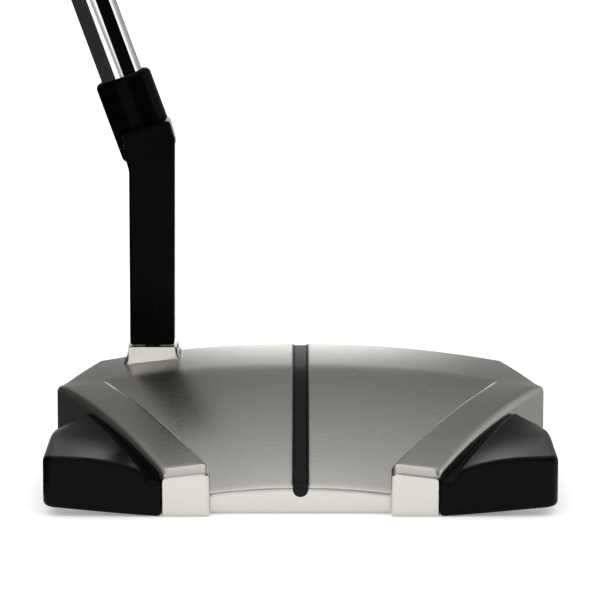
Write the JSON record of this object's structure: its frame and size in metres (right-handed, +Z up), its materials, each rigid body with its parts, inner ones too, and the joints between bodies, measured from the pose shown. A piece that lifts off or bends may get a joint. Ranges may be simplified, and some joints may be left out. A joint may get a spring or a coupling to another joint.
{
  "type": "mallet putter",
  "caption": "Golf putter with a winged mallet head, an offset neck, a chromed steel shaft and a flat-fronted rubber grip.",
  "frame": {"origin": "centre of the flat sole plate's underside, under the sight line, on the ground line", "axes": "+X towards the toe, +Y towards the target (out of the face), +Z up with the club soled at address"},
  "size_m": [0.3694, 0.0891, 0.8155],
  "materials": {
    "milled_aluminium": "fine brushed lines from heel to toe, warm grey anodised",
    "black_steel": "satin black coating",
    "sight_black": "satin black paint fill",
    "insert_polymer": "matt moulded polymer with milled grooves",
    "backing_film": "soft bonding film",
    "sole_steel": "brushed",
    "weight_steel": "turned",
    "fastener_steel": "dark plated",
    "damping_foam": "closed-cell foam",
    "urethane": "matt",
    "seal_rubber": "matt",
    "chrome": "mirror chrome plate",
    "plug_plastic": "moulded",
    "tape": "double-sided paper tape",
    "grip_rubber": "matt rubber with a fine moulded texture",
    "cap_rubber": "satin rubber"
  },
  "bodies": {
    "club": {"head_body": "milled_aluminium", "sight_line": "sight_black", "face_insert": "insert_polymer", "insert_backing": "backing_film", "sole_plate": "sole_steel", "cavity_damper": "damping_foam", "hosel_neck": "black_steel", "neck_screw": "fastener_steel", "shaft": "chrome", "shaft_tip_plug": "plug_plastic", "grip_tape": "tape", "grip": "grip_rubber", "grip_end_cap": "cap_rubber", "sole_plate_screw_1": "fastener_steel", "sole_plate_screw_2": "fastener_steel", "sole_plate_screw_3": "fastener_steel", "sole_plate_screw_4": "fastener_steel", "heel_wing": "black_steel", "heel_wing_pad": "urethane", "heel_wing_screw_1": "fastener_steel", "heel_wing_screw_2": "fastener_steel", "heel_weight_seal": "seal_rubber", "toe_wing": "black_steel", "toe_wing_pad": "urethane", "toe_wing_screw_1": "fastener_steel", "toe_wing_screw_2": "fastener_steel", "toe_weight_seal": "seal_rubber"},
    "heel_weight_unit": {"heel_weight": "weight_steel"},
    "heel_screw_unit": {"heel_weight_screw": "fastener_steel"},
    "toe_weight_unit": {"toe_weight": "weight_steel"},
    "toe_screw_unit": {"toe_weight_screw": "fastener_steel"}
  },
  "joints": [
    {"name": "heel_weight_travel", "type": "slide", "parent": "club", "child": "heel_weight_unit", "axis": [0, 0, -1], "range_m": [0, 0.0048]},
    {"name": "heel_screw_turn", "type": "hinge", "parent": "heel_weight_unit", "child": "heel_screw_unit", "pos_m": [-0.036, 0.0135, 0.004], "axis": [0, 0, -1], "range_deg": [0, 2160]},
    {"name": "toe_weight_travel", "type": "slide", "parent": "club", "child": "toe_weight_unit", "axis": [0, 0, -1], "range_m": [0, 0.0048]},
    {"name": "toe_screw_turn", "type": "hinge", "parent": "toe_weight_unit", "child": "toe_screw_unit", "pos_m": [0.036, 0.0135, 0.004], "axis": [0, 0, -1], "range_deg": [0, 2160]}
  ],
  "couplings": [
    {"joint": "heel_screw_turn", "follows": "heel_weight_travel", "rad_per_m": 7854},
    {"joint": "toe_screw_turn", "follows": "toe_weight_travel", "rad_per_m": 7854}
  ]
}
